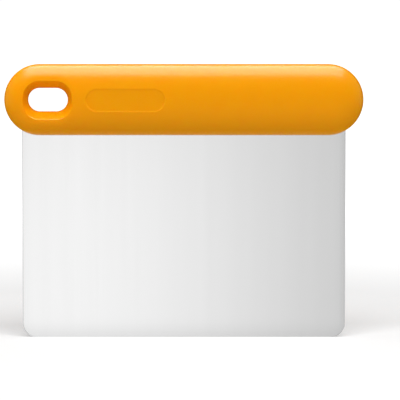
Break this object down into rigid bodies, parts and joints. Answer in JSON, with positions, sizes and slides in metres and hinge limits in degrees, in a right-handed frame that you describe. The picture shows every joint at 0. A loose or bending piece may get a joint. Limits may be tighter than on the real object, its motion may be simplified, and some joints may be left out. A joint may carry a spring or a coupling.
{
  "type": "dough scraper",
  "caption": "Flat steel blade with rounded lower corners in a long rounded plastic grip with a hanging eye, for cutting and lifting dough and scraping a bench.",
  "frame": {"origin": "middle of the working edge, at the blade's mid-thickness", "axes": "+X along the grip away from the hanging eye, -Y out of the front face with the recess, +Z from the working edge up to the grip"},
  "size_m": [0.16, 0.018, 0.1223],
  "materials": {
    "blade_steel": "satin brushed stainless sheet",
    "core_plastic": "natural moulded polypropylene, unseen",
    "grip_plastic": "amber moulded polypropylene, satin"
  },
  "bodies": {
    "root": {"blade": "blade_steel", "front_core": "core_plastic", "rear_core": "core_plastic", "grip": "grip_plastic"}
  },
  "joints": []
}
